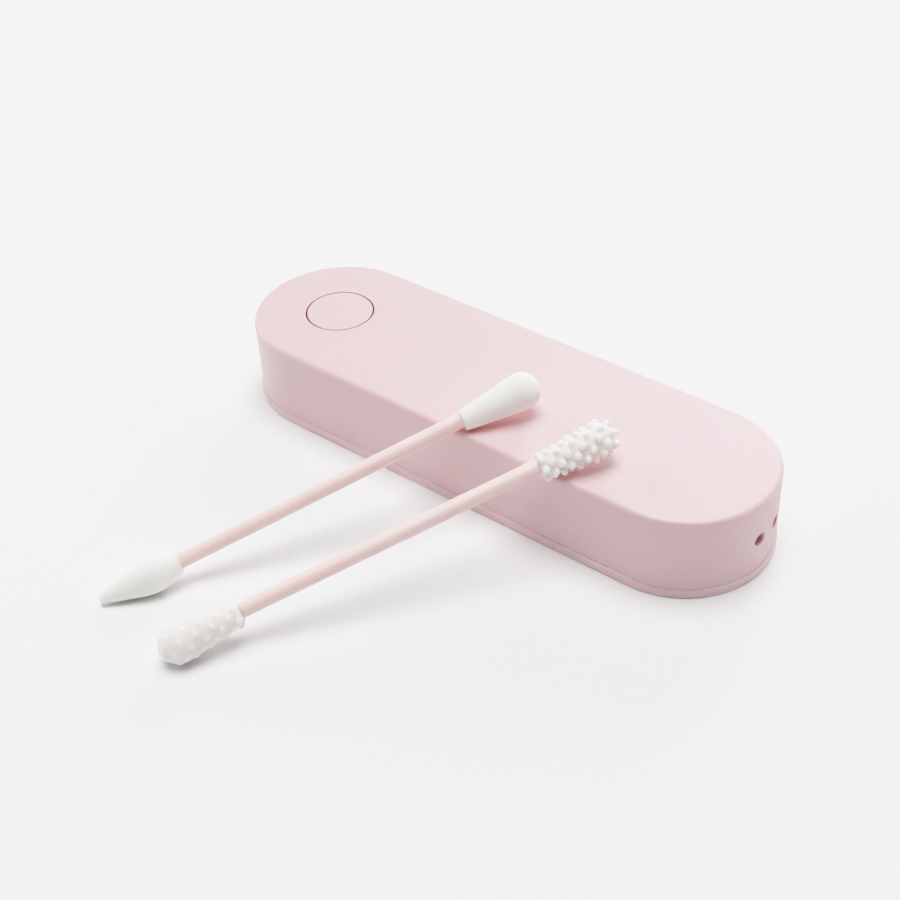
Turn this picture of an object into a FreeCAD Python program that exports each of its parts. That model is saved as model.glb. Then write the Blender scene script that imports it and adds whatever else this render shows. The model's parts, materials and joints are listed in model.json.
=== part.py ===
import FreeCAD, Part
import os
from math import acos, asin, atan2, cos, hypot, radians, sin, sqrt, tau

# Two reusable silicone ear swabs leaning on their closed swivel case.
#
# Frame, in millimetres: the origin is the centre of the case's flat underside, +X runs along the
# case from its pivot to its free end, +Y goes across it away from the swabs, and +Z is up.

Vector = FreeCAD.Vector
UP = Vector(0, 0, 1)
ALONG = Vector(1, 0, 0)

# Case: a stadium outline, split into a deep shell and a thin plate that swivels under it and
# stands out round it by a narrow ledge
CASE_LENGTH = 100.0
CASE_WIDTH = 30.0
CASE_HEIGHT = 15.0
PLATE_HEIGHT = 1.7
LEDGE = 0.2
SEAM = 0.04
WALL = 1.6
ROOF = 1.8
TOP_ROUND = 0.85
SHELL_FOOT_ROUND = 0.05
PLATE_TOP_ROUND = 0.25
PLATE_FOOT_ROUND = 0.2

END_RADIUS = CASE_WIDTH / 2
END_CENTRE = CASE_LENGTH / 2 - END_RADIUS
RIM_Z = PLATE_HEIGHT + SEAM
CEILING_Z = CASE_HEIGHT - ROOF
BAY_RADIUS = END_RADIUS - WALL

# Pivot: the pin's head is the disc in the roof, and its shank turns in the shell's hub
PIVOT_X = -END_CENTRE
HEAD_RADIUS = 5.75
HEAD_HEIGHT = 1.5
HEAD_GAP = 0.3
HEAD_ROUND = 0.08
AXIAL_GAP = 0.05
SHANK_RADIUS = 4.0
BORE_RADIUS = 4.05
HUB_RADIUS = 7.0
BOSS_RADIUS = 6.4
BOSS_HEIGHT = 1.5
WASHER_HEIGHT = 0.3
SPIGOT_RADIUS = 3.0
SPIGOT_FLAT = 2.4
SPIGOT_DEPTH = 1.0
KEY_GAP = 0.03

HEAD_Z = CASE_HEIGHT - HEAD_HEIGHT
RECESS_Z = HEAD_Z - AXIAL_GAP
BOSS_Z = PLATE_HEIGHT + BOSS_HEIGHT
WASHER_Z = BOSS_Z + WASHER_HEIGHT
HUB_Z = WASHER_Z + AXIAL_GAP
SPIGOT_Z = BOSS_Z - SPIGOT_DEPTH

# Stop: a peg on the plate runs between the two ends of a half-round rib behind the hub
STOP_PATH = 7.8
PEG_RADIUS = 0.8
RIB_OUTER = 8.6
RIB_CLEARANCE = 0.2
PEG_CLEARANCE = 0.02

# Screw, driven from below into the pin
SCREW_HEAD_RADIUS = 2.1
SCREW_HEAD_HEIGHT = 1.1
SCREW_HEAD_SINK = 0.3
SCREW_RADIUS = 0.9
SCREW_REACH = 7.0
SCREW_HOLE_EXTRA = 0.6
WEB_HOLE_RADIUS = 1.15
SCREW_RECESS_GAP = 0.2
DRIVE_WIDTH = 0.5
DRIVE_SPAN = 2.4
DRIVE_DEPTH = 0.6

# Vents: two round holes through the free end, at about mid-height and a little off to the far side
VENT_RADIUS = 1.1
VENT_ROUND = 0.12
VENT_YS = (-1.9, 2.9)
VENT_Z = 7.6

# Rests: two bars under the roof that the swab rods snap into
REST_THICKNESS = 3.0
REST_WIDTH = 25.0
REST_DROP = 5.4
REST_GROOVE = 0.5
REST_XS = (-7.0, 27.0)
LANE_Y = 3.7
LANE_Z = CEILING_Z - 3.5
NOTCH_RADIUS = 1.35
NOTCH_MOUTH = 2.3
FIT = 0.05

# Swabs: a rod with a silicone tip moulded over a core at each end
SWAB_LENGTH = 75.6
ROD_RADIUS = 1.25
CORE_RADIUS = 0.8
CORE_DEPTH = 9.5
TIP_LENGTH = 13.45

# Pointed tip: a small nose, a straight flank and a belly that curves down to the rod
NOSE_RADIUS = 1.0
BELLY_RADIUS = 2.83
BELLY_FROM_END = 8.8
HEEL_RADIUS = 1.6

# Ball-ended tips: a straight flank leads from the ball down to a rounded heel at the rod. All three
# are moulded a little off their rods' centre lines.
BALL_RADIUS = 3.05
COLLAR_RADIUS = 1.7
COLLAR_ROUND = 0.25
ROUND_OFFSET = Vector(0, 0.15, -0.17)
DROP_BALL = 3.1
DROP_NECK = 1.85
DROP_HEEL_ROUND = 1.1
DROP_OFFSET = Vector(0, -0.22, -0.24)
BRUSH_BALL = 2.5
BRUSH_NECK = 1.5
BRUSH_HEEL_ROUND = 0.5
BRUSH_OFFSET = Vector(0, 0.24, -0.26)

# Nubs: one on the end, two rings on the ball and more down the flank, every second ring turned
# half a step. They are broad and low on the drop tip, narrow and high on the brush tip.
NUB_PITCH = 1.28
NUBS_PER_RING = 6
NUB_TO_HEEL = 0.7
DROP_NUBS = {"radius": 0.75, "stand": 0.2, "ball_rings": (34, 68), "first_flank_ring": 3.37, "turn": 44}
BRUSH_NUBS = {"radius": 0.56, "stand": 0.8, "ball_rings": (46, 78), "first_flank_ring": 2.95, "turn": 21}

# Where each swab lies: the floor point under its left end, its heading from +X and its upward lean
SMOOTH_END = Vector(-27.62, -65.59, 0.81)
SMOOTH_HEADING = 59.3
SMOOTH_LEAN = 14.94
BUMPY_END = Vector(-11.18, -68.65, 2.73)
BUMPY_HEADING = 59.34
BUMPY_LEAN = 13.4


def cylinder(radius, bottom, top, x=0.0, y=0.0):
    """An upright cylinder between two heights."""
    return Part.makeCylinder(radius, top - bottom, Vector(x, y, bottom), UP)


def box(size_x, size_y, bottom, top, x=0.0, y=0.0):
    """An upright box between two heights, centred on (x, y)."""
    corner = Vector(x - size_x / 2, y - size_y / 2, bottom)
    return Part.makeBox(size_x, size_y, top - bottom, corner)


def stadium(radius, bottom, top):
    """A block whose ends are half circles about the case's two end centres."""
    right, left = Vector(END_CENTRE, 0, bottom), Vector(-END_CENTRE, 0, bottom)
    side = Vector(0, radius, 0)
    out = Vector(radius, 0, 0)
    outline = Part.Wire([
        Part.LineSegment(left - side, right - side).toShape(),
        Part.Arc(right - side, right + out, right + side).toShape(),
        Part.LineSegment(right + side, left + side).toShape(),
        Part.Arc(left + side, left - out, left - side).toShape(),
    ])
    return Part.Face(outline).extrude(Vector(0, 0, top - bottom))


def edges_at(shape, height):
    """The horizontal edges of a block at one height."""
    return [edge for edge in shape.Edges
            if abs(edge.BoundBox.ZMin - height) < 1e-6 and abs(edge.BoundBox.ZMax - height) < 1e-6]


def stop_rib():
    """The half ring behind the hub whose ends stop the plate's peg at 0 and 180 degrees."""
    bottom = PLATE_HEIGHT + RIB_CLEARANCE
    ring = cylinder(RIB_OUTER, bottom, CEILING_Z, PIVOT_X).cut(
        cylinder(BOSS_RADIUS + RIB_CLEARANCE, bottom, CEILING_Z, PIVOT_X))
    behind_peg = PEG_RADIUS + PEG_CLEARANCE
    half = box(2 * RIB_OUTER, 4 * RIB_OUTER, bottom, CEILING_Z, PIVOT_X - RIB_OUTER - behind_peg)
    return ring.common(half)


def recess_rim(shell):
    """The rim of the pivot disc's recess: the one closed edge in the roof's plane."""
    return [edge for edge in edges_at(shell, CASE_HEIGHT) if edge.isClosed()]


def vent_rims(shell):
    """The vents' outer rims: the only edges that lie wholly beyond the inside of the end wall."""
    return [edge for edge in shell.Edges if edge.BoundBox.XMin > END_CENTRE + BAY_RADIUS]


def rest_groove(x):
    """The shallow seat in the roof that a rest is glued into."""
    return box(REST_THICKNESS + 2 * FIT, REST_WIDTH + 2 * FIT, CEILING_Z, CEILING_Z + REST_GROOVE, x)


def case_shell():
    """The deep upper half: roof, walls, hub with the pin's bore, stop rib and vents."""
    shell = stadium(END_RADIUS, RIM_Z, CASE_HEIGHT)
    shell = shell.makeFillet(TOP_ROUND, edges_at(shell, CASE_HEIGHT))
    shell = shell.makeFillet(SHELL_FOOT_ROUND, edges_at(shell, RIM_Z))
    shell = shell.cut(stadium(BAY_RADIUS, RIM_Z, CEILING_Z))
    shell = shell.fuse([cylinder(HUB_RADIUS, HUB_Z, CEILING_Z, PIVOT_X), stop_rib()])
    shell = shell.cut(cylinder(BORE_RADIUS, HUB_Z, CASE_HEIGHT, PIVOT_X))
    shell = shell.cut(cylinder(HEAD_RADIUS + HEAD_GAP, RECESS_Z, CASE_HEIGHT, PIVOT_X))
    shell = shell.makeFillet(HEAD_ROUND, recess_rim(shell))
    for y in VENT_YS:
        shell = shell.cut(Part.makeCylinder(VENT_RADIUS, END_RADIUS, Vector(END_CENTRE, y, VENT_Z), ALONG))
    shell = shell.makeFillet(VENT_ROUND, vent_rims(shell))
    for x in REST_XS:
        shell = shell.cut(rest_groove(x))
    return shell.removeSplitter()


def key_block(gap):
    """The pin's spigot: a round end with two flats, made larger by a gap for its socket."""
    spigot = cylinder(SPIGOT_RADIUS + gap, SPIGOT_Z, BOSS_Z, PIVOT_X)
    flats = box(2 * SHANK_RADIUS, 2 * (SPIGOT_FLAT + gap), SPIGOT_Z, BOSS_Z, PIVOT_X)
    return spigot.common(flats)


def base_plate():
    """The thin plate that closes the case, with the pin's keyed socket and the stop peg."""
    plate = stadium(END_RADIUS + LEDGE, 0.0, PLATE_HEIGHT)
    plate = plate.makeFillet(PLATE_FOOT_ROUND, edges_at(plate, 0.0))
    plate = plate.makeFillet(PLATE_TOP_ROUND, edges_at(plate, PLATE_HEIGHT))
    boss = cylinder(BOSS_RADIUS, PLATE_HEIGHT / 2, BOSS_Z, PIVOT_X)
    peg = cylinder(PEG_RADIUS, PLATE_HEIGHT / 2, BOSS_Z, PIVOT_X, -STOP_PATH)
    plate = plate.fuse([boss, peg])
    recess_top = SCREW_HEAD_SINK + SCREW_HEAD_HEIGHT
    plate = plate.cut(cylinder(SCREW_HEAD_RADIUS + SCREW_RECESS_GAP, 0.0, recess_top, PIVOT_X))
    plate = plate.cut(cylinder(WEB_HOLE_RADIUS, 0.0, BOSS_Z, PIVOT_X))
    return plate.cut(key_block(KEY_GAP)).removeSplitter()


def pivot_pin():
    """The pin: a flush disc for a head, a shank, a spigot with two flats and a screw hole."""
    head = cylinder(HEAD_RADIUS, HEAD_Z, CASE_HEIGHT, PIVOT_X)
    head = head.makeFillet(HEAD_ROUND, edges_at(head, CASE_HEIGHT))
    shank = cylinder(SHANK_RADIUS, BOSS_Z, HEAD_Z, PIVOT_X)
    pin = head.fuse([shank, key_block(0.0)])
    hole_top = SCREW_HEAD_SINK + SCREW_HEAD_HEIGHT + SCREW_REACH + SCREW_HOLE_EXTRA
    return pin.cut(cylinder(SCREW_RADIUS, SPIGOT_Z, hole_top, PIVOT_X)).removeSplitter()


def pivot_washer():
    """The friction washer between the plate's boss and the shell's hub."""
    ring = cylinder(BOSS_RADIUS, BOSS_Z, WASHER_Z, PIVOT_X)
    return ring.cut(cylinder(SHANK_RADIUS + FIT, BOSS_Z, WASHER_Z, PIVOT_X))


def pivot_screw():
    """The cross-head screw that holds the plate to the pin, sunk below the underside."""
    head_top = SCREW_HEAD_SINK + SCREW_HEAD_HEIGHT
    head = cylinder(SCREW_HEAD_RADIUS, SCREW_HEAD_SINK, head_top, PIVOT_X)
    screw = head.fuse(cylinder(SCREW_RADIUS, head_top, head_top + SCREW_REACH, PIVOT_X))
    drive_top = SCREW_HEAD_SINK + DRIVE_DEPTH
    for size_x, size_y in ((DRIVE_WIDTH, DRIVE_SPAN), (DRIVE_SPAN, DRIVE_WIDTH)):
        screw = screw.cut(box(size_x, size_y, SCREW_HEAD_SINK, drive_top, PIVOT_X))
    return screw.removeSplitter()


def swab_rest(x):
    """A bar glued under the roof, with a round notch for each stored rod."""
    bottom = CEILING_Z - REST_DROP
    bar = box(REST_THICKNESS, REST_WIDTH, bottom, CEILING_Z + REST_GROOVE, x)
    for y in (-LANE_Y, LANE_Y):
        start = Vector(x - REST_THICKNESS, y, LANE_Z)
        bar = bar.cut(Part.makeCylinder(NOTCH_RADIUS, 2 * REST_THICKNESS, start, ALONG))
        bar = bar.cut(box(2 * REST_THICKNESS, NOTCH_MOUTH, bottom, LANE_Z, x, y))
    return bar


def turned(edges):
    """A solid of revolution about +X from edges that start and end on the axis."""
    start, end = edges[0].Vertexes[0].Point, edges[-1].Vertexes[-1].Point
    axis_line = Part.LineSegment(end, start).toShape()
    outline = Part.Wire(edges + [axis_line])
    return Part.Face(outline).revolve(Vector(0, 0, 0), ALONG, 360)


def line(start, end):
    return Part.LineSegment(Vector(*start, 0), Vector(*end, 0)).toShape()


def on_circle(centre, radius, angle):
    return centre[0] + radius * cos(angle), centre[1] + radius * sin(angle)


def arc_about(centre, radius, start_angle, end_angle):
    """A circular arc given by its centre, in the plane that is turned into a solid."""
    angles = (start_angle, (start_angle + end_angle) / 2, end_angle)
    return Part.Arc(*[Vector(*on_circle(centre, radius, angle), 0) for angle in angles]).toShape()


def core_hole(tip):
    """Cuts the socket for the rod's core into a tip whose heel is at TIP_LENGTH."""
    depth = Part.makeCylinder(CORE_RADIUS, CORE_DEPTH, Vector(TIP_LENGTH - CORE_DEPTH, 0, 0), ALONG)
    return tip.cut(depth)


def pointed_tip():
    """A nose arc, a straight flank tangent to it and one belly arc that ends at the heel."""
    nose_centre = (NOSE_RADIUS, 0)
    heel_run = TIP_LENGTH - BELLY_FROM_END
    heel_drop = BELLY_RADIUS - HEEL_RADIUS
    bend = (heel_run ** 2 + heel_drop ** 2) / (2 * heel_drop)
    belly_centre = (BELLY_FROM_END, BELLY_RADIUS - bend)
    run, fall = belly_centre[0] - NOSE_RADIUS, belly_centre[1]
    flank_faces = atan2(fall, run) + acos((NOSE_RADIUS - bend) / hypot(run, fall))
    flank_start = on_circle(nose_centre, NOSE_RADIUS, flank_faces)
    flank_end = on_circle(belly_centre, bend, flank_faces)
    edges = [
        arc_about(nose_centre, NOSE_RADIUS, tau / 2, flank_faces),
        line(flank_start, flank_end),
        arc_about(belly_centre, bend, flank_faces, acos(heel_run / bend)),
        line((TIP_LENGTH, HEEL_RADIUS), (TIP_LENGTH, 0)),
    ]
    return core_hole(turned(edges))


def flank_lean(ball, neck, length):
    """The lean of a straight flank that is tangent to the ball end and meets the neck radius."""
    run = length - ball
    return asin(ball / sqrt(run ** 2 + neck ** 2)) - atan2(neck, run)


def ball_and_flank(ball, neck, length, heel_round):
    """A ball end with a straight tangent flank down to a rounded heel."""
    flank_faces = tau / 4 - flank_lean(ball, neck, length)
    heel_centre = (length - heel_round, neck - heel_round)
    edges = [
        arc_about((ball, 0), ball, tau / 2, flank_faces),
        line(on_circle((ball, 0), ball, flank_faces), on_circle(heel_centre, heel_round, flank_faces)),
        arc_about(heel_centre, heel_round, flank_faces, 0),
        line((length, heel_centre[1]), (length, 0)),
    ]
    return turned(edges)


def round_tip():
    tip = ball_and_flank(BALL_RADIUS, COLLAR_RADIUS, TIP_LENGTH, COLLAR_ROUND)
    tip.translate(ROUND_OFFSET)
    return core_hole(tip)


def nub(foot, normal, turn, layout):
    """One round-headed nub, square to the surface at its foot."""
    def spun(along, out):
        return Vector(along, out * cos(turn), out * sin(turn))
    radius, stand = layout["radius"], layout["stand"]
    outward = spun(cos(normal), sin(normal))
    base = spun(*foot)
    head = Part.makeSphere(radius, base + outward * (stand - radius), outward)
    if stand <= radius:
        return head
    stem = Part.makeCylinder(radius, stand, base - outward * radius, outward)
    return head.fuse(stem)


def surface_point(along, ball, neck, length):
    """A point on a ball-and-flank tip, as (along, radius), and the angle its surface faces."""
    lean = flank_lean(ball, neck, length)
    if along < ball + ball * sin(lean):
        return (along, sqrt(ball ** 2 - (along - ball) ** 2)), tau / 4 + asin((ball - along) / ball)
    return (along, (ball - (along - ball) * sin(lean)) / cos(lean)), tau / 4 - lean


def ring_places(ball, length, layout):
    """How far each ring of nubs lies from the end of the tip."""
    places = [ball - ball * cos(radians(angle)) for angle in layout["ball_rings"]]
    along = layout["first_flank_ring"]
    while along < length - NUB_TO_HEEL:
        places.append(along)
        along += NUB_PITCH
    return places


def nubbed_tip(ball, neck, heel_round, layout, offset):
    """A ball-and-flank tip with nubs, as long overall as the plain one, set off its core."""
    stand = layout["stand"]
    length = TIP_LENGTH - stand
    tip = ball_and_flank(ball, neck, length, heel_round)
    nubs = [nub((0, 0), tau / 2, 0, layout)]
    for ring, along in enumerate(ring_places(ball, length, layout)):
        foot, normal = surface_point(along, ball, neck, length)
        half_step = 0.5 if ring % 2 == 0 else 0.0
        for step in range(NUBS_PER_RING):
            turn = radians(layout["turn"]) + tau * (step + half_step) / NUBS_PER_RING
            nubs.append(nub(foot, normal, turn, layout))
    tip = tip.fuse(nubs)
    tip.translate(ALONG * stand + offset)
    return core_hole(tip)


def swab_rod():
    """The rod with the two thinner cores that the tips are moulded over."""
    rod = Part.makeCylinder(ROD_RADIUS, SWAB_LENGTH - 2 * TIP_LENGTH, Vector(TIP_LENGTH, 0, 0), ALONG)
    core_length = SWAB_LENGTH - 2 * (TIP_LENGTH - CORE_DEPTH)
    core = Part.makeCylinder(CORE_RADIUS, core_length, Vector(TIP_LENGTH - CORE_DEPTH, 0, 0), ALONG)
    return rod.fuse(core).removeSplitter()


def reversed_end(tip):
    """Moves a tip made at the left end to the right end of the swab."""
    tip = tip.copy()
    tip.rotate(Vector(SWAB_LENGTH / 2, 0, 0), UP, 180)
    return tip


def laid(shape, end, heading, lean):
    """Places a swab piece made along +X where its swab lies."""
    placed = shape.copy()
    placed.rotate(Vector(0, 0, 0), Vector(0, 1, 0), -lean)
    placed.rotate(Vector(0, 0, 0), UP, heading)
    placed.translate(end)
    return placed


def swab(name, pieces, end, heading, lean):
    """The placed pieces of one swab, by node name."""
    return {name + "_" + piece: laid(shape, end, heading, lean) for piece, shape in pieces.items()}


def parts():
    nodes = {
        "case_shell": case_shell(),
        "base_plate": base_plate(),
        "pivot_pin": pivot_pin(),
        "pivot_washer": pivot_washer(),
        "pivot_screw": pivot_screw(),
        "swab_rest_pivot_side": swab_rest(REST_XS[0]),
        "swab_rest_free_side": swab_rest(REST_XS[1]),
    }
    smooth = {
        "rod": swab_rod(),
        "pointed_tip": pointed_tip(),
        "round_tip": reversed_end(round_tip()),
    }
    bumpy = {
        "rod": swab_rod(),
        "drop_tip": nubbed_tip(DROP_BALL, DROP_NECK, DROP_HEEL_ROUND, DROP_NUBS, DROP_OFFSET),
        "brush_tip": reversed_end(
            nubbed_tip(BRUSH_BALL, BRUSH_NECK, BRUSH_HEEL_ROUND, BRUSH_NUBS, BRUSH_OFFSET)),
    }
    nodes.update(swab("smooth_swab", smooth, SMOOTH_END, SMOOTH_HEADING, SMOOTH_LEAN))
    nodes.update(swab("bumpy_swab", bumpy, BUMPY_END, BUMPY_HEADING, BUMPY_LEAN))
    return nodes


os.makedirs("parts", exist_ok=True)
for node, shape in parts().items():
    print(node, "solids", len(shape.Solids), "valid", shape.isValid(), "mm3", round(shape.Volume, 2))
    shape.exportStep("parts/" + node + ".step")
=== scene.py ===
import json
from math import acos, asin, atan2, cos, hypot, pi, radians, sin, sqrt, tau

import bmesh
import bpy
import numpy as np
from mathutils import Matrix, Vector


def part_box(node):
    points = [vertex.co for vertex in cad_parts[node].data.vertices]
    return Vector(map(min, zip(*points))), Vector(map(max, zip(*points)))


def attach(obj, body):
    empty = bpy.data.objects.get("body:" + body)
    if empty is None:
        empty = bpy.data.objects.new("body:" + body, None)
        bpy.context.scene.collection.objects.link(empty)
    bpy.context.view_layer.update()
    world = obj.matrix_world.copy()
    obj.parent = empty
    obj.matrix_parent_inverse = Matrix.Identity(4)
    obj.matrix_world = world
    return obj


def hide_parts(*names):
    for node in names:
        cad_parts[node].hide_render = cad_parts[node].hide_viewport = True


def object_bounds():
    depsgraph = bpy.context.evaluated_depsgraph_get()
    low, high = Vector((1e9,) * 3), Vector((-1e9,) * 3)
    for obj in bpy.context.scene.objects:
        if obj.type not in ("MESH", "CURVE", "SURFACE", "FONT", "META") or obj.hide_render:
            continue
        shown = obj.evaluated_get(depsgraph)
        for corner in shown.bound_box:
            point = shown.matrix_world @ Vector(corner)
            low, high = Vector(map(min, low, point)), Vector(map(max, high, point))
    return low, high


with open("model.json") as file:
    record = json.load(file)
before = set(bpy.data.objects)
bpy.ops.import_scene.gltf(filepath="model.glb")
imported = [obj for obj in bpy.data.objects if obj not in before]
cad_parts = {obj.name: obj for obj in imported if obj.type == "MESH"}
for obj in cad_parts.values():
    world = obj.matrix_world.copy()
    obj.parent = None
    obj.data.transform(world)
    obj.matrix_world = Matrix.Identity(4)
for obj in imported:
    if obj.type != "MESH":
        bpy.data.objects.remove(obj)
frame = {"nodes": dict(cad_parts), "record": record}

# Looks for two silicone ear swabs leaning on their swivel case. The frame is the CAD's: +X runs
# along the case to its vented end, the swabs lean on its -Y side and +Z is up, in metres. The tips
# are shaped in millimetres along +X, from their own end to their heel, and then laid in place; their
# sizes below are in millimetres too.
MM = 0.001
POINT_DECIMALS = 7
CAD_LOW, CAD_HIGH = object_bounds()
UP = Vector((0, 0, 1))

# The camera, aimed at a point on the floor beside the case's centre
CAMERA_AZIMUTH = radians(40.2)
CAMERA_ELEVATION = radians(39.15)
CAMERA_ROLL = radians(-3.05)
CAMERA_DISTANCE = 0.2559
CAMERA_LENS = 60.05
CAMERA_CLIP = 0.01
CAMERA_TARGET = Vector((-0.00717, -0.00508, 0))

# Studio lights: each one's place from the object's centre, its width and its watts
LIGHTS = {
    "top": ((0.0, 0.1, 1.5), 1.2, 28.7),
    "left": ((-1.4, -0.1, 0.45), 0.9, 7.3),
    "back": ((-0.4, 1.4, 0.5), 0.9, 15.1),
    "back_right": ((0.9, 1.0, 0.6), 0.9, 3.3),
    "front": ((-0.30, -0.34, 0.22), 0.35, 0.27),
}

# The floor: how far it goes each way, its fibres (features per metre), its whites and its roughness
FLOOR_REACH = 40.0
FLOOR_FIBRE = 700
FLOOR_WHITES = (0.905, 0.93)
FLOOR_ROUGHNESS = 0.9

# The far floor glows to keep the studio pale up to the horizon, and so does a thin band of backdrop
# above it: the glow, the distances along the floor between which it sets in, and the height of the
# band, as the sine of its elevation
STUDIO_GLOW = 0.8
FLOOR_GLOW_REACH = (0.3, 2.2)
BACKDROP_TOP = 0.12

# The film's curve rolls highlights off: the brightest light it holds, how sharp its shoulder is, and
# the number of points that draw it
FILM_WHITE = 3.0
FILM_SHOULDER = 3
FILM_STEPS = 16

# Pointed tip: a small nose that bends up a little, a straight flank and a belly near the rod
NOSE_RADIUS = 1.0
BELLY_FROM_END = 8.8
HEEL_RADIUS = 1.6
NOSE_LIFT = 0.3
NOSE_LIFT_REACH = 6.0
NOSE_LIFT_POWER = 1.5

# Ball-ended tip without nubs: the radius where its flank meets the rod, and the round at its heel
ROUND_NECK = 1.7
ROUND_HEEL = 0.25

# Nubbed tips: the same neck and heel, and the nubs' radius and stand, broad and low on the drop tip,
# narrow and high on the brush tip. Every second ring of nubs is turned half a step. The ball's rings
# are angles from its end, the flank's first ring is a length from the end, the turn is about the
# tip's own axis, and the melting counts the smoothing steps that round a tip off once its nubs are
# fused.
NUB_PITCH = 1.28
NUBS_PER_RING = 6
NUB_TO_HEEL = 0.7
DROP_TIP = {
    "neck": 1.85,
    "heel": 1.1,
    "radius": 0.75,
    "stand": 0.2,
    "ball_rings": (34, 68),
    "first_flank_ring": 3.37,
    "turn": 44,
    "melting": 16,
}
BRUSH_TIP = {
    "neck": 1.5,
    "heel": 0.5,
    "radius": 0.56,
    "stand": 0.8,
    "ball_rings": (46, 78),
    "first_flank_ring": 2.95,
    "turn": 21,
    "melting": 12,
}
FUSE_VOXEL = 0.075
FUSE_SOFTENING = 0.5

# A nub's foot, as (height, radius) in radii of its head. It starts on the nub's axis inside the tip.
# A low nub's flare is in parts of its radius where the head starts. A high nub flares and narrows
# again to a waist, where its round head starts.
NUB_ROOT = (-1, 0)
LOW_FLARE = (-0.5, 1.2)
HIGH_FLARE = (-0.5, 1.35)
HIGH_WAIST = (0.1, 1.05)
HIGH_HEAD_START = 0.6 * pi

# Every polymer's mottling: features per metre of its colour and of its gloss, and its darkest shade.
# Its skin has a second grain: how many times broader than the first it is, and how many deeper.
MOTTLE_SCALE = 160
GLOSS_SCALE = 900
MOTTLE_SHADE = 0.975
BROAD_GRAIN = 12
BROAD_GRAIN_DEPTH = 3

# The silicone's range of roughness, its skin's grain (features per metre, depth) and the light under
# its surface (weight, colour reach, depth in millimetres)
SILICONE_GLOSS = (0.48, 0.58)
SILICONE_SKIN = (7000, 3e-6)
SILICONE_GLOW = (0.6, (1.0, 0.8, 0.7), 1.5)
NUBBED_GLOW = (0.85, (1.0, 0.8, 0.65), 2.2)

# Colours: the tips' silicone, and on the nubbed ones its thin body, where the pink rod shows through
# and which is partly painted shade between the nubs, and its thick nubs; the pinks of the case, its
# plate and the rods, and the painted red shade of the case and the rods in their corners
SILICONE_WHITE = (0.94, 0.915, 0.88)
NUBBED_THIN_AND_SHADED = (0.86, 0.81, 0.795)
NUBBED_WHITE = (0.935, 0.93, 0.91)
PINK = (0.79, 0.555, 0.577)
PLATE_PINK = (0.85, 0.61, 0.63)
ROD_PINK = (0.94, 0.71, 0.69)
# Painted red shade for the corners of the case and the rods
CASE_PAINTED_SHADE = (0.95, 0.42, 0.41)
ROD_PAINTED_SHADE = (0.92, 0.50, 0.45)

# The screw's steel: its stains (features per metre, darkest and brightest grey), its gloss (features
# per metre, range of roughness) and its scratches (features per metre, depth)
STEEL_STAINS = (1500, (0.60, 0.60, 0.61), (0.72, 0.72, 0.73))
STEEL_GLOSS = (3000, 0.22, 0.40)
STEEL_SCRATCHES = (9000, 3e-6)

# The slot round the pivot disc, in millimetres: how far it reaches beyond the disc, the depth of its
# brink, the two depths between which its colour turns from a painted light pink, brighter than the
# case, to a painted deep red shade, and its floor's depth
SLOT_REACH = 0.5
SLOT_DEPTHS = (0.03, 0.25, 0.55, 1.6)
SLOT_PAINTED_LIGHT = (0.97, 0.75, 0.77)
SLOT_PAINTED_SHADE = (0.48, 0.01, 0.03)

# How white a nubbed tip is at its thick end, against 1 for its nubs' heads
THICK_WHITENESS = 0.45

# How open a place is to the light where the painted corner shade is full, and where it ends; how far
# around it is looked at on the case and the rods, in millimetres, and by how many rays
CORNER_OPENNESS = (0.1, 0.7)
CASE_CORNER_REACH = 3
ROD_CORNER_REACH = 2
CORNER_RAYS = 8


# ---------------------------------------------------------------- camera, light and floor

def make_camera():
    """A camera at its azimuth and elevation from the target, rolled a little about its view."""
    back = Vector((sin(CAMERA_AZIMUTH) * cos(CAMERA_ELEVATION),
                   -cos(CAMERA_AZIMUTH) * cos(CAMERA_ELEVATION),
                   sin(CAMERA_ELEVATION)))
    right = UP.cross(back).normalized()
    up = back.cross(right)
    rolled_right = right * cos(CAMERA_ROLL) + up * sin(CAMERA_ROLL)
    rolled_up = up * cos(CAMERA_ROLL) - right * sin(CAMERA_ROLL)
    turn = Matrix((rolled_right, rolled_up, back)).transposed().to_4x4()
    camera = bpy.data.objects.new("camera", bpy.data.cameras.new("camera"))
    camera.data.lens = CAMERA_LENS
    camera.data.clip_start = CAMERA_CLIP
    camera.matrix_world = Matrix.Translation(CAMERA_TARGET + back * CAMERA_DISTANCE) @ turn
    bpy.context.collection.objects.link(camera)
    bpy.context.scene.camera = camera


def make_light(name, offset, width, watts):
    """A round soft light that faces the object's centre."""
    lamp = bpy.data.lights.new(name, "AREA")
    lamp.shape = "DISK"
    lamp.size = width
    lamp.energy = watts
    light = bpy.data.objects.new(name, lamp)
    light.location = (CAD_LOW + CAD_HIGH) / 2 + Vector(offset)
    light.rotation_euler = Vector(offset).to_track_quat("Z", "Y").to_euler()
    light.visible_camera = False
    bpy.context.collection.objects.link(light)


def light_studio():
    """Soft lights in a dark room whose backdrop glows faintly just above the floor."""
    world = bpy.data.worlds.new("studio")
    bpy.context.scene.world = world
    world.use_nodes = True
    tree = world.node_tree
    split = tree.nodes.new("ShaderNodeSeparateXYZ")
    tree.links.new(tree.nodes.new("ShaderNodeTexCoord").outputs["Generated"], split.inputs["Vector"])
    background = tree.nodes["Background"]
    background.inputs["Color"].default_value = (1, 1, 1, 1)
    backdrop = ramp(tree, split.outputs["Z"], STUDIO_GLOW, 0, 0, BACKDROP_TOP)
    tree.links.new(backdrop, background.inputs["Strength"])
    for name, (offset, width, watts) in LIGHTS.items():
        make_light(name, offset, width, watts)


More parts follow.
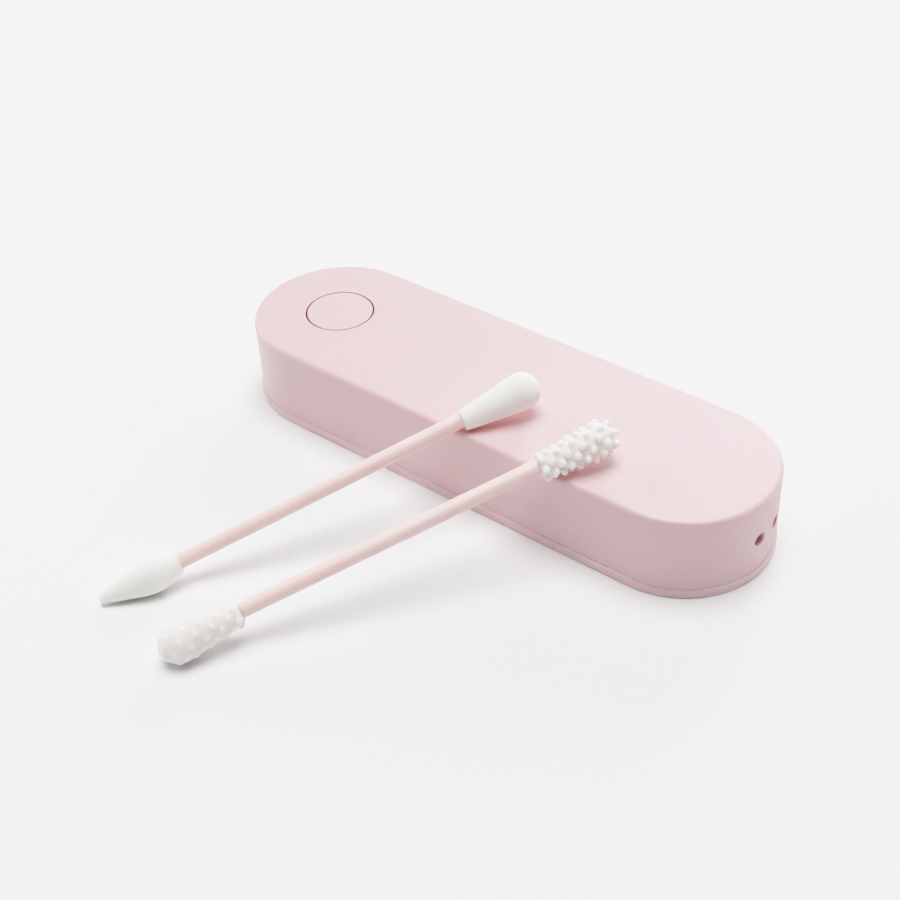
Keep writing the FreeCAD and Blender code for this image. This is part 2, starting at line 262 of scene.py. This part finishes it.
def set_film():
    """Keeps dark and middle tones as they are and rolls the highlights off softly."""
    view = bpy.context.scene.view_settings
    view.view_transform = "Standard"
    view.use_curve_mapping = True
    view.curve_mapping.white_level = (FILM_WHITE, FILM_WHITE, FILM_WHITE)
    all_channels = view.curve_mapping.curves[3]
    points = all_channels.points
    for step in range(1, FILM_STEPS + 1):
        light = FILM_WHITE * step / FILM_STEPS
        shown = light / (1 + light ** FILM_SHOULDER) ** (1 / FILM_SHOULDER)
        if step < FILM_STEPS:
            points.new(step / FILM_STEPS, shown)
        else:
            points[len(points) - 1].location = (1, shown)
    view.curve_mapping.update()


def make_floor():
    """A flat square floor, wide enough to reach the horizon."""
    reach = FLOOR_REACH
    mesh = bpy.data.meshes.new("floor")
    corners = [(-reach, -reach, 0), (reach, -reach, 0), (reach, reach, 0), (-reach, reach, 0)]
    mesh.from_pydata(corners, [], [(0, 1, 2, 3)])
    floor = bpy.data.objects.new("floor", mesh)
    bpy.context.collection.objects.link(floor)
    floor.data.materials.append(floor_paper())


# ---------------------------------------------------------------- materials

def new_material(name):
    """A material with nodes, its node tree and its shader."""
    material = bpy.data.materials.new(name)
    material.use_nodes = True
    return material, material.node_tree, material.node_tree.nodes["Principled BSDF"]


def noise(tree, scale, detail):
    """A noise texture in object space: scale counts features per metre, detail its octaves."""
    place = tree.nodes.new("ShaderNodeTexCoord")
    texture = tree.nodes.new("ShaderNodeTexNoise")
    texture.inputs["Scale"].default_value = scale
    texture.inputs["Detail"].default_value = detail
    tree.links.new(place.outputs["Object"], texture.inputs["Vector"])
    return texture.outputs["Fac"]


def ramp(tree, fac, low, high, start=0.3, end=0.7):
    """Blends from one value to another as fac goes from start to end, by default a noise's range."""
    node = tree.nodes.new("ShaderNodeMapRange")
    node.inputs["From Min"].default_value = start
    node.inputs["From Max"].default_value = end
    node.inputs["To Min"].default_value = low
    node.inputs["To Max"].default_value = high
    tree.links.new(fac, node.inputs["Value"])
    return node.outputs["Result"]


def blend(tree, fac, low, high):
    """Mixes two colours, each a colour or a socket, by a factor socket."""
    mix = tree.nodes.new("ShaderNodeMix")
    mix.data_type = "RGBA"
    tree.links.new(fac, mix.inputs["Factor"])
    for name, colour in (("A", low), ("B", high)):
        socket = next(s for s in mix.inputs if s.name == name and s.type == "RGBA")
        if isinstance(colour, tuple):
            socket.default_value = (*colour, 1)
        else:
            tree.links.new(colour, socket)
    return next(s for s in mix.outputs if s.type == "RGBA")


def bumps(tree, layers):
    """Stacks bump layers, each (height socket, depth in metres), and returns the normal."""
    normal = None
    for height, depth in layers:
        node = tree.nodes.new("ShaderNodeBump")
        node.inputs["Strength"].default_value = 1.0
        node.inputs["Distance"].default_value = depth
        tree.links.new(height, node.inputs["Height"])
        if normal is not None:
            tree.links.new(normal, node.inputs["Normal"])
        normal = node.outputs["Normal"]
    return normal


def shade(colour, factor):
    """A colour made darker by a factor below 1."""
    return tuple(channel * factor for channel in colour)


def moulded(name, colour, gloss, skin, glow):
    """A moulded polymer: faint mottling, a fine moulded skin and some light under the surface.

    gloss is the roughness's range, skin the grain's (features per metre, depth) and glow the
    subsurface (weight, colour reach, depth in millimetres).
    """
    material, tree, shader = new_material(name)
    mottling = ramp(tree, noise(tree, MOTTLE_SCALE, 3), 0, 1)
    darkest = shade(colour, MOTTLE_SHADE)
    tree.links.new(blend(tree, mottling, darkest, colour), shader.inputs["Base Color"])
    tree.links.new(ramp(tree, noise(tree, GLOSS_SCALE, 4), *gloss), shader.inputs["Roughness"])
    grain, depth = skin
    fine = (noise(tree, grain, 2), depth)
    broad = (noise(tree, grain / BROAD_GRAIN, 2), depth * BROAD_GRAIN_DEPTH)
    tree.links.new(bumps(tree, [fine, broad]), shader.inputs["Normal"])
    weight, reach, millimetres = glow
    shader.inputs["Subsurface Weight"].default_value = weight
    shader.inputs["Subsurface Radius"].default_value = reach
    shader.inputs["Subsurface Scale"].default_value = millimetres * MM
    return material


def recolour(material, fac, colour):
    """Blends a material's colour with another by a factor socket: 1 keeps the other colour."""
    tree = material.node_tree
    base = tree.nodes["Principled BSDF"].inputs["Base Color"]
    tree.links.new(blend(tree, fac, base.links[0].from_socket, colour), base)


def paint_corner_shade(material, colour, reach):
    """Paints shade: tints the places that little light reaches, such as corners and under the swabs, a
    deeper red.
    """
    tree = material.node_tree
    openness = tree.nodes.new("ShaderNodeAmbientOcclusion")
    openness.samples = CORNER_RAYS
    openness.inputs["Distance"].default_value = reach * MM
    recolour(material, ramp(tree, openness.outputs["AO"], 1, 0, *CORNER_OPENNESS), colour)
    return material


def pink_plastic(name, colour):
    """The satin plastic of the case and its plate."""
    glow = (0.35, (1.0, 0.4, 0.35), 1.0)
    plastic = moulded(name, colour, gloss=(0.40, 0.48), skin=(6000, 2e-6), glow=glow)
    plastic.node_tree.nodes["Principled BSDF"].inputs["Specular IOR Level"].default_value = 0.8
    return plastic


def compute(tree, operation, *values):
    """A maths node on values that are each a number or a socket."""
    node = tree.nodes.new("ShaderNodeMath")
    node.operation = operation
    for socket, value in zip(node.inputs, values):
        if isinstance(value, float):
            socket.default_value = value
        else:
            tree.links.new(value, socket)
    return node.outputs["Value"]


def disc_slot(tree):
    """Two masks for the slot round the pivot disc: 1 inside it, and how deep it is from 0 to 1."""
    low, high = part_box("pivot_pin")
    place = tree.nodes.new("ShaderNodeTexCoord").outputs["Object"]
    flat = tree.nodes.new("ShaderNodeVectorMath")
    flat.operation = "MULTIPLY"
    flat.inputs[1].default_value = (1, 1, 0)
    tree.links.new(place, flat.inputs[0])
    from_axis = tree.nodes.new("ShaderNodeVectorMath")
    from_axis.operation = "DISTANCE"
    from_axis.inputs[1].default_value = ((low.x + high.x) / 2, (low.y + high.y) / 2, 0)
    tree.links.new(flat.outputs["Vector"], from_axis.inputs[0])
    split = tree.nodes.new("ShaderNodeSeparateXYZ")
    tree.links.new(place, split.inputs["Vector"])
    outer = (high.x - low.x) / 2 + SLOT_REACH * MM
    near = compute(tree, "LESS_THAN", from_axis.outputs["Value"], outer)
    brink, shallow, deep, floor = (high.z - depth * MM for depth in SLOT_DEPTHS)
    level = compute(tree, "COMPARE", split.outputs["Z"], (brink + floor) / 2, (brink - floor) / 2)
    inside = compute(tree, "MULTIPLY", near, level)
    return inside, ramp(tree, split.outputs["Z"], 1, 0, deep, shallow)


def case_plastic():
    """The case's pink plastic, with painted red shade where the swabs shade it and in its corners, and
    down in the disc's slot a painted light pink turning to a painted deep red shade.
    """
    # Painted red shade where little light reaches the case
    plastic = paint_corner_shade(pink_plastic("case_plastic", PINK), CASE_PAINTED_SHADE, CASE_CORNER_REACH)
    tree = plastic.node_tree
    inside, depth = disc_slot(tree)
    # Painted light near the slot's brink, painted deep red shade further down in it
    recolour(plastic, inside, blend(tree, depth, SLOT_PAINTED_LIGHT, SLOT_PAINTED_SHADE))
    return plastic


def rod_plastic():
    """The rods' plastic, smoother and glossier than the case's."""
    glow = (0.4, (1.0, 0.45, 0.35), 1.0)
    plastic = moulded("rod_plastic", ROD_PINK, gloss=(0.30, 0.36), skin=(5000, 1e-6), glow=glow)
    # Painted red shade where little light reaches the rods
    return paint_corner_shade(plastic, ROD_PAINTED_SHADE, ROD_CORNER_REACH)


def smooth_silicone():
    """The matt white silicone of the two tips without nubs."""
    return moulded("smooth_silicone", SILICONE_WHITE, SILICONE_GLOSS, SILICONE_SKIN, SILICONE_GLOW)


def nubbed_silicone():
    """Silicone that lets the pink rod through where it is thin, and is whiter where it is thick; its
    darker colour between the nubs is partly painted shade.
    """
    material = moulded("nubbed_silicone", NUBBED_THIN_AND_SHADED, SILICONE_GLOSS, SILICONE_SKIN, NUBBED_GLOW)
    thickness_and_shade = material.node_tree.nodes.new("ShaderNodeAttribute")
    thickness_and_shade.attribute_name = "thickness_and_shade"
    # Painted shade: the low places between the nubs keep the darker, pinker body colour
    recolour(material, thickness_and_shade.outputs["Fac"], NUBBED_WHITE)
    return material


def acetal():
    """The washer's creamy white plastic."""
    glow = (0.1, (1.0, 1.0, 1.0), 0.3)
    return moulded("acetal", (0.80, 0.79, 0.76), gloss=(0.40, 0.50), skin=(6000, 2e-6), glow=glow)


def plated_steel():
    """Bright plated steel with fine stains and scratches."""
    material, tree, shader = new_material("plated_steel")
    shader.inputs["Metallic"].default_value = 1.0
    scale, dark, bright = STEEL_STAINS
    plating = blend(tree, ramp(tree, noise(tree, scale, 4), 0, 1), dark, bright)
    tree.links.new(plating, shader.inputs["Base Color"])
    scale, polished, dull = STEEL_GLOSS
    tree.links.new(ramp(tree, noise(tree, scale, 5), polished, dull), shader.inputs["Roughness"])
    scale, depth = STEEL_SCRATCHES
    tree.links.new(bumps(tree, [(noise(tree, scale, 3), depth)]), shader.inputs["Normal"])
    return material


def floor_paper():
    """Matt white paper with faint fibre, which starts to glow some way from the object."""
    material, tree, shader = new_material("floor_paper")
    fibre = ramp(tree, noise(tree, FLOOR_FIBRE, 6), 0, 1)
    dim, bright = ((white, white, white) for white in FLOOR_WHITES)
    paper = blend(tree, fibre, dim, bright)
    tree.links.new(paper, shader.inputs["Base Color"])
    shader.inputs["Roughness"].default_value = FLOOR_ROUGHNESS
    from_centre = tree.nodes.new("ShaderNodeVectorMath")
    from_centre.operation = "LENGTH"
    tree.links.new(tree.nodes.new("ShaderNodeTexCoord").outputs["Object"], from_centre.inputs[0])
    glow = ramp(tree, from_centre.outputs["Value"], 0, STUDIO_GLOW, *FLOOR_GLOW_REACH)
    shader.inputs["Emission Color"].default_value = (1, 1, 1, 1)
    tree.links.new(glow, shader.inputs["Emission Strength"])
    return material


def paint_cad(of_slot, of_node):
    """Gives every CAD node its own material, or else the material of its slot."""
    for subpart in frame["record"]["subparts"]:
        name = subpart["node"]
        mesh = frame["nodes"][name].data
        mesh.materials.clear()
        mesh.materials.append(of_node.get(name, of_slot[subpart["material_slot"]]))


# ---------------------------------------------------------------- swab tips

def cad_points(node):
    """A CAD node's corners, each once, to a tenth of a micrometre."""
    mesh = frame["nodes"][node].data
    points = np.empty(len(mesh.vertices) * 3)
    mesh.vertices.foreach_get("co", points)
    return np.unique(points.reshape(-1, 3).round(POINT_DECIMALS), axis=0)


def swab_place(rod, left_tip):
    """The matrix from a swab's own axes, +X from its left end to its right, to where it lies."""
    points = cad_points(rod)
    centre = points.mean(axis=0)
    along = Vector(np.linalg.svd(points - centre, full_matrices=False)[2][0])
    left = cad_points(left_tip) - centre
    if along.dot(Vector(left.mean(axis=0))) > 0:
        along = -along
    reach = -(left @ np.array(along)).min()
    side = UP.cross(along).normalized()
    turn = Matrix((along, side, along.cross(side))).transposed().to_4x4()
    return Matrix.Translation(Vector(centre) - along * reach) @ turn


def tip_size(place, node):
    """A tip's start and end along its swab, its centre line's (y, z) and its largest radius, in mm."""
    inverse = np.array(place.inverted())
    local = (cad_points(node) @ inverse[:3, :3].T + inverse[:3, 3]) / MM
    low, high = local.min(axis=0), local.max(axis=0)
    centre = (low + high)[1:] / 2
    return low[0], high[0], centre, np.hypot(*(local[:, 1:] - centre).T).max()


def lathe(outline, segments=128):
    """A closed surface turned about +X from (along, radius) points that start and end on the axis."""
    shape = bmesh.new()
    rings = []
    for along, radius in outline:
        if radius == 0:
            rings.append([shape.verts.new((along, 0, 0))])
            continue
        turns = [tau * k / segments for k in range(segments)]
        rings.append([shape.verts.new((along, radius * cos(t), radius * sin(t))) for t in turns])
    for near, far in zip(rings, rings[1:]):
        for k in range(segments):
            after = (k + 1) % segments
            if len(near) == 1:
                shape.faces.new((near[0], far[after], far[k]))
            elif len(far) == 1:
                shape.faces.new((near[k], near[after], far[0]))
            else:
                shape.faces.new((near[k], near[after], far[after], far[k]))
    bmesh.ops.recalc_face_normals(shape, faces=shape.faces)
    return shape


def arc(centre, radius, start, end, steps=24):
    """Points along a circular arc, both ends included."""
    turns = [start + (end - start) * k / steps for k in range(steps + 1)]
    return [(centre[0] + radius * cos(t), centre[1] + radius * sin(t)) for t in turns]


def pointed_outline(length, belly):
    """A nose arc, a straight flank tangent to it and one belly arc that ends at the heel."""
    heel_run, heel_drop = length - BELLY_FROM_END, belly - HEEL_RADIUS
    bend = (heel_run ** 2 + heel_drop ** 2) / (2 * heel_drop)
    run, fall = BELLY_FROM_END - NOSE_RADIUS, belly - bend
    flank_faces = atan2(fall, run) + acos((NOSE_RADIUS - bend) / hypot(run, fall))
    outline = [(0, 0)] + arc((NOSE_RADIUS, 0), NOSE_RADIUS, pi, flank_faces)[1:]
    outline += arc((BELLY_FROM_END, fall), bend, flank_faces, acos(heel_run / bend), steps=48)
    return outline + [(length, 0)]


def flank_lean(ball, neck, length):
    """The lean of a straight flank that is tangent to the ball end and meets the neck radius."""
    run = length - ball
    return asin(ball / sqrt(run ** 2 + neck ** 2)) - atan2(neck, run)


def ball_outline(length, ball, neck, heel_round):
    """A ball end, a straight flank and a rounded heel."""
    touch = pi / 2 - flank_lean(ball, neck, length)
    heel_centre = (length - heel_round, neck - heel_round)
    outline = [(0, 0)] + arc((ball, 0), ball, pi, touch, steps=40)[1:]
    outline += arc(heel_centre, heel_round, touch, 0, steps=12)
    return outline + [(length, 0)]


def surface_point(along, ball, neck, length):
    """A point on a ball-ended tip, as (along, radius), and the angle its surface faces."""
    lean = flank_lean(ball, neck, length)
    if along < ball + ball * sin(lean):
        return (along, sqrt(ball ** 2 - (along - ball) ** 2)), pi / 2 + asin((ball - along) / ball)
    return (along, (ball - (along - ball) * sin(lean)) / cos(lean)), pi / 2 - lean


def ring_places(ball, length, layout):
    """How far each ring of nubs lies from the end of the tip."""
    places = [ball - ball * cos(radians(angle)) for angle in layout["ball_rings"]]
    along = layout["first_flank_ring"]
    while along < length - NUB_TO_HEEL:
        places.append(along)
        along += NUB_PITCH
    return places


def nub_outline(head, stand):
    """Half of a nub's outline, from inside the tip to its round head; a high nub has a broad foot."""
    if stand < head:
        head_start = acos(1 - stand / head)
        height, flare = LOW_FLARE
        foot = [NUB_ROOT, (height, flare * sin(head_start))]
    else:
        head_start = HIGH_HEAD_START
        foot = [NUB_ROOT, HIGH_FLARE, HIGH_WAIST]
    foot = [(height * head, radius * head) for height, radius in foot]
    return foot + arc((stand - head, 0), head, head_start, 0, steps=16)[:-1] + [(stand, 0)]


def add_nub(shape, foot, outward, layout):
    """Adds one nub as a closed surface that overlaps the tip's."""
    piece = lathe(nub_outline(layout["radius"], layout["stand"]), segments=24)
    turn = outward.to_track_quat("X", "Z").to_matrix().to_4x4()
    bmesh.ops.transform(piece, matrix=Matrix.Translation(foot) @ turn, verts=piece.verts)
    mesh = bpy.data.meshes.new("nub")
    piece.to_mesh(mesh)
    piece.free()
    shape.from_mesh(mesh)
    bpy.data.meshes.remove(mesh)


def add_nubs(shape, length, ball, layout):
    """A nub on the end and rings of them down to the heel."""
    add_nub(shape, Vector((0, 0, 0)), Vector((-1, 0, 0)), layout)
    for ring, along in enumerate(ring_places(ball, length, layout)):
        (along, radius), normal = surface_point(along, ball, layout["neck"], length)
        half_step = 0.5 if ring % 2 == 0 else 0.0
        for step in range(NUBS_PER_RING):
            turn = radians(layout["turn"]) + tau * (step + half_step) / NUBS_PER_RING
            foot = Vector((along, radius * cos(turn), radius * sin(turn)))
            outward = Vector((cos(normal), sin(normal) * cos(turn), sin(normal) * sin(turn)))
            add_nub(shape, foot, outward, layout)


def new_piece(name, shape):
    """A smooth-shaded object from a shape in millimetres."""
    mesh = bpy.data.meshes.new(name)
    shape.to_mesh(mesh)
    shape.free()
    mesh.polygons.foreach_set("use_smooth", [True] * len(mesh.polygons))
    piece = bpy.data.objects.new(name, mesh)
    bpy.context.collection.objects.link(piece)
    return piece


def fuse(piece, melting):
    """Joins the overlapping closed surfaces of a piece into one skin and softens the creases."""
    remesh = piece.modifiers.new("fuse", "REMESH")
    remesh.mode = "VOXEL"
    remesh.voxel_size = FUSE_VOXEL
    remesh.use_smooth_shade = True
    soften = piece.modifiers.new("soften", "SMOOTH")
    soften.factor = FUSE_SOFTENING
    soften.iterations = melting
    loose = piece.data
    name = loose.name
    graph = bpy.context.evaluated_depsgraph_get()
    piece.data = bpy.data.meshes.new_from_object(piece.evaluated_get(graph))
    piece.modifiers.clear()
    bpy.data.meshes.remove(loose)
    piece.data.name = name


def mark_thickness_and_shade(mesh, length, ball, neck, stand):
    """Stores how white each point is: from 0 at the heel to 1 at the nubs' heads and the ball end; the
    low places between the nubs stay darker as painted shade.
    """
    points = np.empty(len(mesh.vertices) * 3)
    mesh.vertices.foreach_get("co", points)
    points = points.reshape(-1, 3)
    radius = np.hypot(points[:, 1], points[:, 2])
    lean = flank_lean(ball, neck, length)
    from_ball = np.hypot(points[:, 0] - ball, radius) - ball
    from_flank = (radius * cos(lean) + (points[:, 0] - ball) * sin(lean)) - ball
    height = np.where(points[:, 0] < ball, from_ball, from_flank) / stand
    thickness = THICK_WHITENESS * (1 - points[:, 0] / length)
    attribute = mesh.attributes.new("thickness_and_shade", "FLOAT", "POINT")
    attribute.data.foreach_set("value", np.clip(height + thickness, 0, 1))


def lay(piece, place, centre, start, end, at_right_end):
    """Moves a tip from its own axes, in millimetres, to its end of the swab."""
    if at_right_end:
        own = Matrix.Translation((end, *centre)) @ Matrix.Rotation(pi, 4, "Z")
    else:
        own = Matrix.Translation((start, *centre))
    piece.data.transform(place @ Matrix.Scale(MM, 4) @ own)


def fit_in(piece, swab, node, material):
    """Makes a piece the visible form of a CAD tip."""
    piece.data.materials.append(material)
    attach(piece, swab)
    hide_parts(node)


def pointed_shape(length, belly):
    """The turned pointed tip, its nose bent up a little more and more towards its end."""
    shape = lathe(pointed_outline(length, belly))
    for corner in shape.verts:
        nearness = max(0, 1 - corner.co.x / NOSE_LIFT_REACH)
        corner.co.z += NOSE_LIFT * nearness ** NOSE_LIFT_POWER
    return shape


def round_shape(length, ball):
    """The turned ball-ended tip without nubs."""
    return lathe(ball_outline(length, ball, ROUND_NECK, ROUND_HEEL))


def plain_tip(node, swab, place, make_shape, at_right_end, material):
    """A smooth tip as long and as wide as the CAD one."""
    start, end, centre, widest = tip_size(place, node)
    piece = new_piece(node + "_skin", make_shape(end - start, widest))
    lay(piece, place, centre, start, end, at_right_end)
    fit_in(piece, swab, node, material)


def nubbed_tip(node, swab, place, layout, at_right_end, material):
    """A ball-ended tip with nubs, as long and as wide overall as the CAD one."""
    start, end, centre, widest = tip_size(place, node)
    neck = layout["neck"]
    stand = layout["stand"]
    length = end - start - stand
    ball = widest - stand
    shape = lathe(ball_outline(length, ball, neck, layout["heel"]))
    add_nubs(shape, length, ball, layout)
    piece = new_piece(node + "_skin", shape)
    fuse(piece, layout["melting"])
    mark_thickness_and_shade(piece.data, length, ball, neck, stand)
    if at_right_end:
        lay(piece, place, centre, start, end - stand, True)
    else:
        lay(piece, place, centre, start + stand, end, False)
    fit_in(piece, swab, node, material)


def make_smooth_swab(silicone):
    """The smooth swab's pointed tip at its left end and round tip at its right."""
    place = swab_place("smooth_swab_rod", "smooth_swab_pointed_tip")
    plain_tip("smooth_swab_pointed_tip", "smooth_swab", place, pointed_shape, False, silicone)
    plain_tip("smooth_swab_round_tip", "smooth_swab", place, round_shape, True, silicone)


def make_bumpy_swab(silicone):
    """The nubbed swab's drop-shaped tip at its left end and brush-like tip at its right."""
    place = swab_place("bumpy_swab_rod", "bumpy_swab_drop_tip")
    nubbed_tip("bumpy_swab_drop_tip", "bumpy_swab", place, DROP_TIP, False, silicone)
    nubbed_tip("bumpy_swab_brush_tip", "bumpy_swab", place, BRUSH_TIP, True, silicone)


make_camera()
light_studio()
set_film()
make_floor()
silicone = smooth_silicone()
paint_cad(
    of_slot={
        "case_plastic": case_plastic(),
        "rod_plastic": rod_plastic(),
        "tip_silicone": silicone,
        "washer_plastic": acetal(),
        "screw_steel": plated_steel(),
    },
    of_node={"base_plate": pink_plastic("plate_plastic", PLATE_PINK)},
)
make_smooth_swab(silicone)
make_bumpy_swab(nubbed_silicone())
